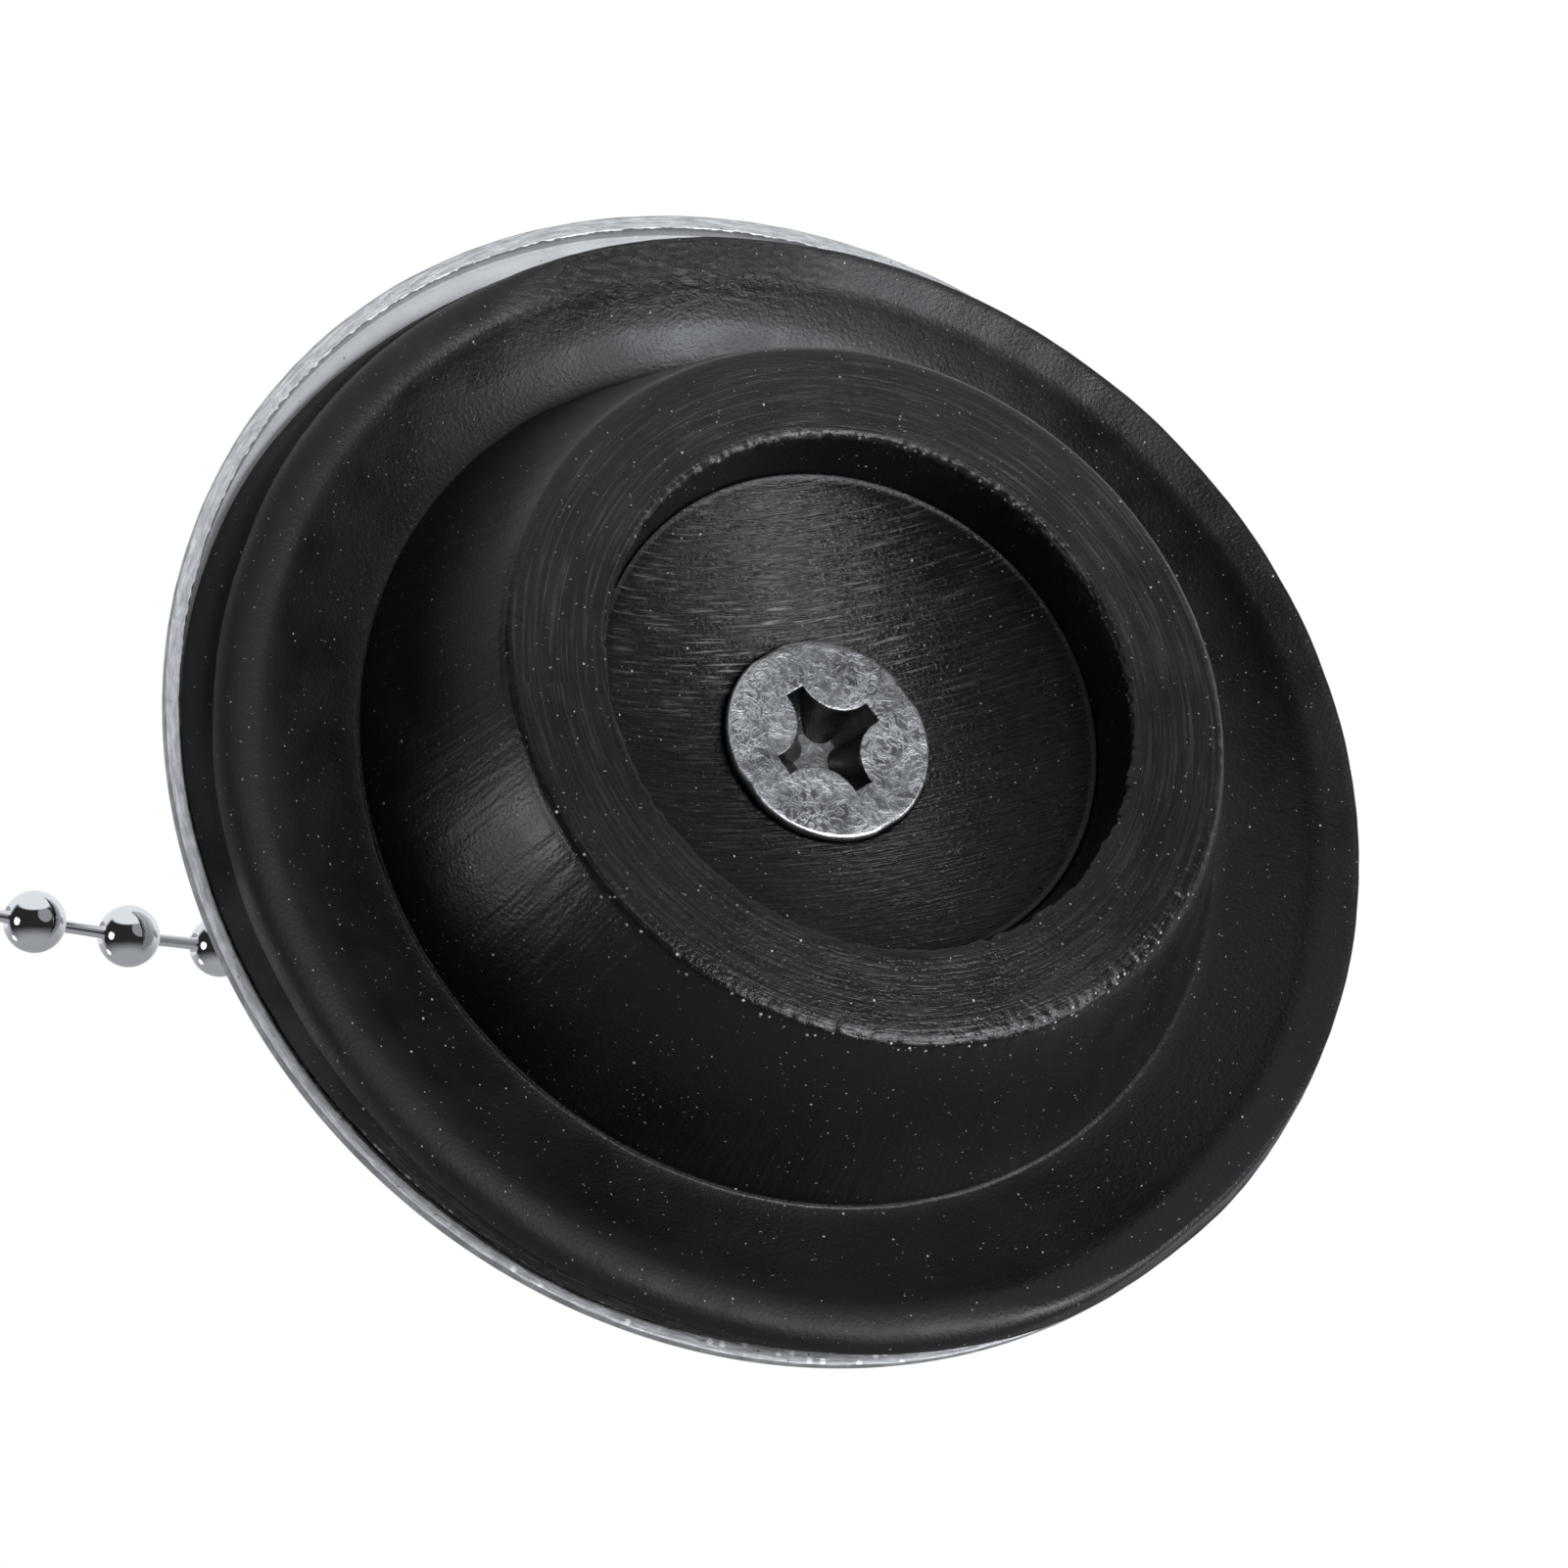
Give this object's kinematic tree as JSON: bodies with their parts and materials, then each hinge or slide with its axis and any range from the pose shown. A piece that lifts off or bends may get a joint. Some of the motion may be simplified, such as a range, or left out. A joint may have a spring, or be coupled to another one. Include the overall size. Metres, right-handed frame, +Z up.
{
  "type": "drain stopper",
  "caption": "Drain stopper: tapered black rubber plug under a thin domed steel cap, clamped by a countersunk cross screw, with a bead chain from an eye on top.",
  "frame": {"origin": "on the plug's axis, at the flat ring that ends the plug", "axes": "+Z up in use, from the plug's end to the cap; the chain leaves towards -X"},
  "size_m": [0.1191, 0.0589, 0.0299],
  "materials": {
    "plug_rubber": "satin moulded",
    "cap_steel": "polished, scratched",
    "screw_zinc": "zinc plated, mottled",
    "post_chrome": "polished",
    "ring_steel": "polished wire",
    "clasp_chrome": "polished sheet",
    "chain_bead": "polished",
    "chain_link": "polished wire",
    "tie_coat": "plain"
  },
  "bodies": {
    "stopper": {"rubber_plug": "plug_rubber", "dome_cap": "cap_steel", "clamp_screw": "screw_zinc", "chain_post": "post_chrome"},
    "ring": {"post_ring": "ring_steel"},
    "bead_01": {"top_clasp": "clasp_chrome", "chain_bead_01": "chain_bead", "chain_link_01": "chain_link"},
    "bead_02": {"chain_bead_02": "chain_bead", "chain_link_02": "chain_link"},
    "bead_03": {"chain_bead_03": "chain_bead", "chain_link_03": "chain_link"},
    "bead_04": {"chain_bead_04": "chain_bead", "chain_link_04": "chain_link"},
    "bead_05": {"chain_bead_05": "chain_bead", "chain_link_05": "chain_link"},
    "bead_06": {"chain_bead_06": "chain_bead", "chain_link_06": "chain_link"},
    "bead_07": {"chain_bead_07": "chain_bead", "chain_link_07": "chain_link"},
    "bead_08": {"chain_bead_08": "chain_bead", "chain_link_08": "chain_link"},
    "bead_09": {"chain_bead_09": "chain_bead", "chain_link_09": "chain_link"},
    "bead_10": {"chain_bead_10": "chain_bead", "chain_link_10": "chain_link"},
    "bead_11": {"chain_bead_11": "chain_bead", "chain_link_11": "chain_link"},
    "bead_12": {"chain_bead_12": "chain_bead", "chain_link_12": "chain_link"},
    "coil": {"coil_turn_1_beads": "chain_bead", "coil_turn_2_beads": "chain_bead", "coil_turn_3_beads": "chain_bead", "coil_turn_1_links": "chain_link", "coil_turn_2_links": "chain_link", "coil_turn_3_links": "chain_link", "tail_beads": "chain_bead", "tail_links": "chain_link", "coil_tie": "tie_coat"},
    "end_clasp": {"end_clasp": "clasp_chrome", "end_bead": "chain_bead"},
    "end_ring": {"end_ring": "ring_steel"}
  },
  "joints": [
    {"name": "ring_swing", "type": "hinge", "parent": "stopper", "child": "ring", "pos_m": [0, 0, 0.02575], "axis": [0.3584, 0.9336, 0], "range_deg": [0, 100]},
    {"name": "clasp_swing", "type": "hinge", "parent": "ring", "child": "bead_01", "pos_m": [-0.00579, 0.00222, 0.02016], "axis": [0.3584, 0.9336, 0], "range_deg": [0, 75]},
    {"name": "chain_lift_01", "type": "hinge", "parent": "bead_01", "child": "bead_02", "pos_m": [-0.01341, 0.00483, 0.01811], "axis": [0.2809, 0.9597, 0], "range_deg": [0, 12]},
    {"name": "chain_swing_02", "type": "hinge", "parent": "bead_02", "child": "bead_03", "pos_m": [-0.0176, 0.00562, 0.01702], "axis": [-0.2378, 0.0417, 0.9704], "range_deg": [-12, 12]},
    {"name": "chain_lift_03", "type": "hinge", "parent": "bead_03", "child": "bead_04", "pos_m": [-0.02188, 0.00605, 0.0161], "axis": [0.0876, 0.9962, 0], "range_deg": [0, 12]},
    {"name": "chain_swing_04", "type": "hinge", "parent": "bead_04", "child": "bead_05", "pos_m": [-0.02621, 0.00615, 0.01531], "axis": [-0.1762, 0.0021, 0.9844], "range_deg": [-12, 12]},
    {"name": "chain_lift_05", "type": "hinge", "parent": "bead_05", "child": "bead_06", "pos_m": [-0.03054, 0.00595, 0.01457], "axis": [-0.0574, 0.9984, 0], "range_deg": [0, 12]},
    {"name": "chain_swing_06", "type": "hinge", "parent": "bead_06", "child": "bead_07", "pos_m": [-0.03486, 0.00551, 0.01387], "axis": [-0.1571, -0.0172, 0.9874], "range_deg": [-12, 12]},
    {"name": "chain_lift_07", "type": "hinge", "parent": "bead_07", "child": "bead_08", "pos_m": [-0.03918, 0.00493, 0.01324], "axis": [-0.1363, 0.9907, 0], "range_deg": [0, 12]},
    {"name": "chain_swing_08", "type": "hinge", "parent": "bead_08", "child": "bead_09", "pos_m": [-0.04349, 0.0043, 0.01267], "axis": [-0.1246, -0.0187, 0.992], "range_deg": [-12, 12]},
    {"name": "chain_lift_09", "type": "hinge", "parent": "bead_09", "child": "bead_10", "pos_m": [-0.04781, 0.00363, 0.01212], "axis": [-0.1538, 0.9881, 0], "range_deg": [0, 12]},
    {"name": "chain_swing_10", "type": "hinge", "parent": "bead_10", "child": "bead_11", "pos_m": [-0.05212, 0.00295, 0.01157], "axis": [-0.1253, -0.0197, 0.9919], "range_deg": [-12, 12]},
    {"name": "chain_lift_11", "type": "hinge", "parent": "bead_11", "child": "bead_12", "pos_m": [-0.05644, 0.00226, 0.01109], "axis": [-0.1594, 0.9872, 0], "range_deg": [0, 12]},
    {"name": "chain_swing_12", "type": "hinge", "parent": "bead_12", "child": "coil", "pos_m": [-0.06078, 0.00157, 0.01098], "axis": [-0.0095, -0.0015, 1], "range_deg": [-12, 12]},
    {"name": "end_clasp_lift", "type": "hinge", "parent": "coil", "child": "end_clasp", "pos_m": [-0.07396, 0.0011, 0.00185], "axis": [-0.0257, 0.9997, 0], "range_deg": [0, 8]},
    {"name": "end_ring_lift", "type": "hinge", "parent": "end_clasp", "child": "end_ring", "pos_m": [-0.07913, 0.00096, 0.00193], "axis": [-0.0257, 0.9997, 0], "range_deg": [0, 100]}
  ]
}
